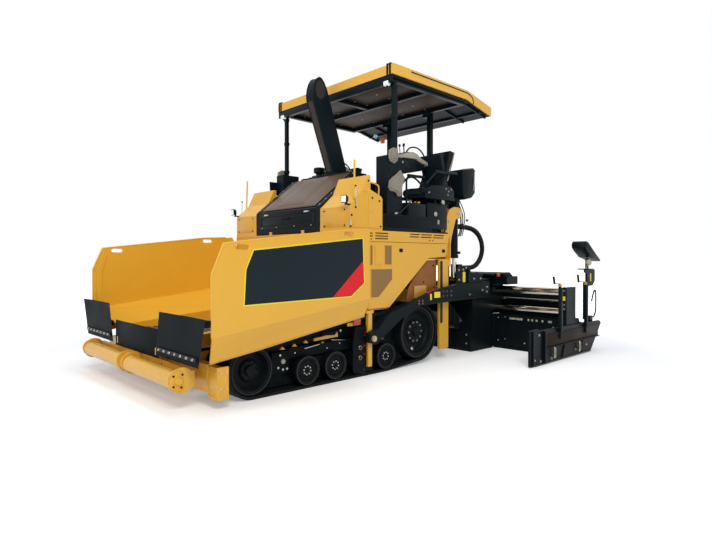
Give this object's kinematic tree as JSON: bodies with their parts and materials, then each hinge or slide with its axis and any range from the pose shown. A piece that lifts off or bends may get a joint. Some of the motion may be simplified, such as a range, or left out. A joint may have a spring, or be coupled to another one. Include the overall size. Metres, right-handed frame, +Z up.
{
  "type": "tracked asphalt paver",
  "caption": "Tracked asphalt paver: hopper with folding wings, push rollers, twin-track tractor with canopy, towed extending screed.",
  "frame": {"origin": "on the ground, at the centre of the whole machine's box with the screed drawn out", "axes": "+X forward to the hopper, +Y to the machine's left, +Z up"},
  "size_m": [6.41, 4.9106, 3.87],
  "materials": {
    "yellow_paint": "baked yellow enamel on welded plate",
    "canopy_paint": "yellow gel-coated roof shell",
    "black_paint": "satin black paint",
    "screed_paint": "black paint, a little oily",
    "belt_rubber": "smooth rubber track belt",
    "wheel_rubber": "rubber tyred steel wheel",
    "sheet_rubber": "reinforced rubber sheet",
    "hose_sleeve": "corrugated black hose sleeve",
    "worn_steel": "wear plate polished by asphalt",
    "chrome_rod": "hard chromed rod",
    "console_plastic": "grained warm grey plastic",
    "seat_vinyl": "black vinyl"
  },
  "bodies": {
    "chassis": {"main_frame": "yellow_paint", "engine_block": "black_paint", "conveyors": "worn_steel", "engine_cowl": "black_paint", "exhaust_stack": "black_paint", "platform": "black_paint", "canopy_roof": "canopy_paint", "canopy_frame": "black_paint", "front_frame": "yellow_paint", "engine_bay": "yellow_paint", "umbilical_hose": "hose_sleeve", "track_left": "belt_rubber", "track_right": "belt_rubber", "undercarriage_left": "black_paint", "undercarriage_right": "black_paint", "final_drive_left": "black_paint", "final_drive_right": "black_paint", "body_panel_left": "yellow_paint", "body_panel_right": "yellow_paint", "console_left": "console_plastic", "console_right": "console_plastic", "seat_base_left": "black_paint", "seat_base_right": "black_paint", "seat_left": "seat_vinyl", "seat_right": "seat_vinyl", "rear_mast_left": "yellow_paint", "rear_mast_right": "yellow_paint"},
    "push_beam": {"push_beam": "yellow_paint"},
    "apron": {"apron": "black_paint"},
    "hood": {"hood": "black_paint"},
    "screed": {"screed_main": "screed_paint", "tow_arm_left": "screed_paint", "tow_arm_right": "screed_paint"},
    "drive_wheel_left": {"drive_wheel_left": "wheel_rubber"},
    "idler_wheel_left": {"idler_wheel_left": "wheel_rubber"},
    "push_roller_left": {"push_roller_left": "yellow_paint"},
    "wing_left": {"wing_left": "yellow_paint", "flashing_left": "sheet_rubber"},
    "service_door_left": {"service_door_left": "yellow_paint"},
    "auger_left": {"auger_left": "worn_steel"},
    "lift_barrel_left": {"lift_barrel_left": "black_paint"},
    "lift_rod_left": {"lift_rod_left": "chrome_rod"},
    "extender_left": {"extender_left": "screed_paint", "end_gate_left": "screed_paint", "screed_console_left": "console_plastic"},
    "drive_wheel_right": {"drive_wheel_right": "wheel_rubber"},
    "idler_wheel_right": {"idler_wheel_right": "wheel_rubber"},
    "push_roller_right": {"push_roller_right": "yellow_paint"},
    "wing_right": {"wing_right": "yellow_paint", "flashing_right": "sheet_rubber"},
    "service_door_right": {"service_door_right": "yellow_paint"},
    "auger_right": {"auger_right": "worn_steel"},
    "lift_barrel_right": {"lift_barrel_right": "black_paint"},
    "lift_rod_right": {"lift_rod_right": "chrome_rod"},
    "extender_right": {"extender_right": "screed_paint", "end_gate_right": "screed_paint", "screed_console_right": "console_plastic"}
  },
  "joints": [
    {"name": "screed_lift", "type": "hinge", "parent": "chassis", "child": "screed", "pos_m": [0.775, 0, 0.45], "axis": [0, 1, 0], "range_deg": [0, 7], "deforming": ["umbilical_hose"]},
    {"name": "hood_open", "type": "hinge", "parent": "chassis", "child": "hood", "pos_m": [1.027, 0, 1.746], "axis": [0, -1, 0], "range_deg": [-60, 0]},
    {"name": "push_beam_swing", "type": "hinge", "parent": "chassis", "child": "push_beam", "pos_m": [2.973, 0, 0.295], "axis": [0, 0, 1], "range_deg": [-4, 4]},
    {"name": "apron_fold", "type": "hinge", "parent": "chassis", "child": "apron", "pos_m": [3.01, 0, 0.48], "axis": [0, 1, 0], "range_deg": [0, 75]},
    {"name": "wing_fold_left", "type": "hinge", "parent": "chassis", "child": "wing_left", "pos_m": [1.795, 0.715, 0.5], "axis": [1, 0, 0], "range_deg": [0, 45]},
    {"name": "service_door_left", "type": "hinge", "parent": "chassis", "child": "service_door_left", "pos_m": [0.778, 1.289, 1.2], "axis": [0, 0, -1], "range_deg": [0, 90]},
    {"name": "drive_wheel_left", "type": "hinge", "parent": "chassis", "child": "drive_wheel_left", "pos_m": [-0.181, 1.05, 0.426], "axis": [0, 1, 0], "continuous": true},
    {"name": "idler_wheel_left", "type": "hinge", "parent": "chassis", "child": "idler_wheel_left", "pos_m": [2.366, 1.05, 0.28], "axis": [0, 1, 0], "continuous": true},
    {"name": "push_roller_left", "type": "hinge", "parent": "push_beam", "child": "push_roller_left", "pos_m": [3.113, 0.64, 0.295], "axis": [0, 1, 0], "continuous": true},
    {"name": "auger_left", "type": "hinge", "parent": "chassis", "child": "auger_left", "pos_m": [-1.155, 0.64, 0.42], "axis": [0, 1, 0], "continuous": true},
    {"name": "extender_left", "type": "slide", "parent": "screed", "child": "extender_left", "axis": [0, -1, 0], "range_m": [0, 1.1]},
    {"name": "lift_swing_left", "type": "hinge", "parent": "chassis", "child": "lift_barrel_left", "pos_m": [-1.19, 1.1, 2.06], "axis": [0, -1, 0], "range_deg": [0, 7.2]},
    {"name": "lift_rod_left", "type": "slide", "parent": "lift_barrel_left", "child": "lift_rod_left", "axis": [0, 0, 1], "range_m": [0, 0.24]},
    {"name": "wing_fold_right", "type": "hinge", "parent": "chassis", "child": "wing_right", "pos_m": [1.795, -0.715, 0.5], "axis": [-1, 0, 0], "range_deg": [0, 45]},
    {"name": "service_door_right", "type": "hinge", "parent": "chassis", "child": "service_door_right", "pos_m": [0.778, -1.289, 1.2], "axis": [0, 0, 1], "range_deg": [0, 90]},
    {"name": "drive_wheel_right", "type": "hinge", "parent": "chassis", "child": "drive_wheel_right", "pos_m": [-0.181, -1.05, 0.426], "axis": [0, 1, 0], "continuous": true},
    {"name": "idler_wheel_right", "type": "hinge", "parent": "chassis", "child": "idler_wheel_right", "pos_m": [2.366, -1.05, 0.28], "axis": [0, 1, 0], "continuous": true},
    {"name": "push_roller_right", "type": "hinge", "parent": "push_beam", "child": "push_roller_right", "pos_m": [3.113, -0.64, 0.295], "axis": [0, 1, 0], "continuous": true},
    {"name": "auger_right", "type": "hinge", "parent": "chassis", "child": "auger_right", "pos_m": [-1.155, -0.64, 0.42], "axis": [0, 1, 0], "continuous": true},
    {"name": "extender_right", "type": "slide", "parent": "screed", "child": "extender_right", "axis": [0, 1, 0], "range_m": [0, 1.1]},
    {"name": "lift_swing_right", "type": "hinge", "parent": "chassis", "child": "lift_barrel_right", "pos_m": [-1.19, -1.1, 2.06], "axis": [0, -1, 0], "range_deg": [0, 7.2]},
    {"name": "lift_rod_right", "type": "slide", "parent": "lift_barrel_right", "child": "lift_rod_right", "axis": [0, 0, 1], "range_m": [0, 0.24]}
  ],
  "couplings": [
    {"joint": "lift_swing_left", "follows": "screed_lift", "ratio": 1.01},
    {"joint": "lift_rod_left", "follows": "screed_lift", "m_per_rad": 1.876},
    {"joint": "lift_swing_right", "follows": "screed_lift", "ratio": 1.01},
    {"joint": "lift_rod_right", "follows": "screed_lift", "m_per_rad": 1.876}
  ]
}
